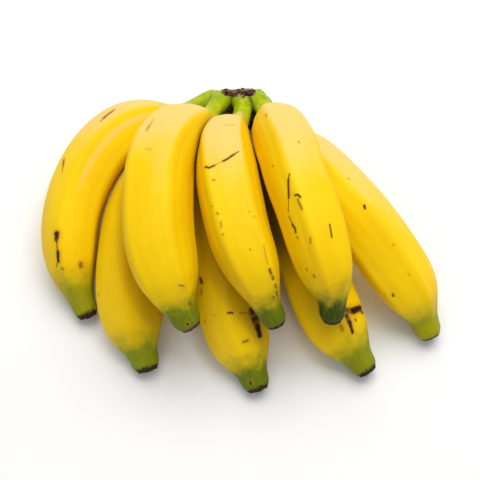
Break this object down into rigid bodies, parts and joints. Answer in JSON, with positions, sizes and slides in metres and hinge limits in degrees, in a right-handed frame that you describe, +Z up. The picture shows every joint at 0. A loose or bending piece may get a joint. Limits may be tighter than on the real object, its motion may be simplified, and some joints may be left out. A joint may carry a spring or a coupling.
{
  "type": "hand of bananas",
  "caption": "Hand of short, plump, ridged yellow bananas with green pedicels and bottle-necked tips, joined by nature at one cut crown and lying curved side up.",
  "frame": {"origin": "on the resting surface, under the middle of the whole hand's outer box", "axes": "+X to the right when seen from the tips, along the width of the fan; +Y back from the tips to the crown; +Z up, away from the resting surface"},
  "size_m": [0.2244, 0.188, 0.0865],
  "materials": {
    "peel": "satin",
    "crown": "rough"
  },
  "bodies": {
    "root": {"crown": "crown", "banana_lower_1": "peel", "banana_lower_2": "peel", "banana_lower_3": "peel", "banana_lower_4": "peel", "banana_lower_5": "peel", "banana_upper_1": "peel", "banana_upper_2": "peel", "banana_upper_3": "peel"}
  },
  "joints": []
}
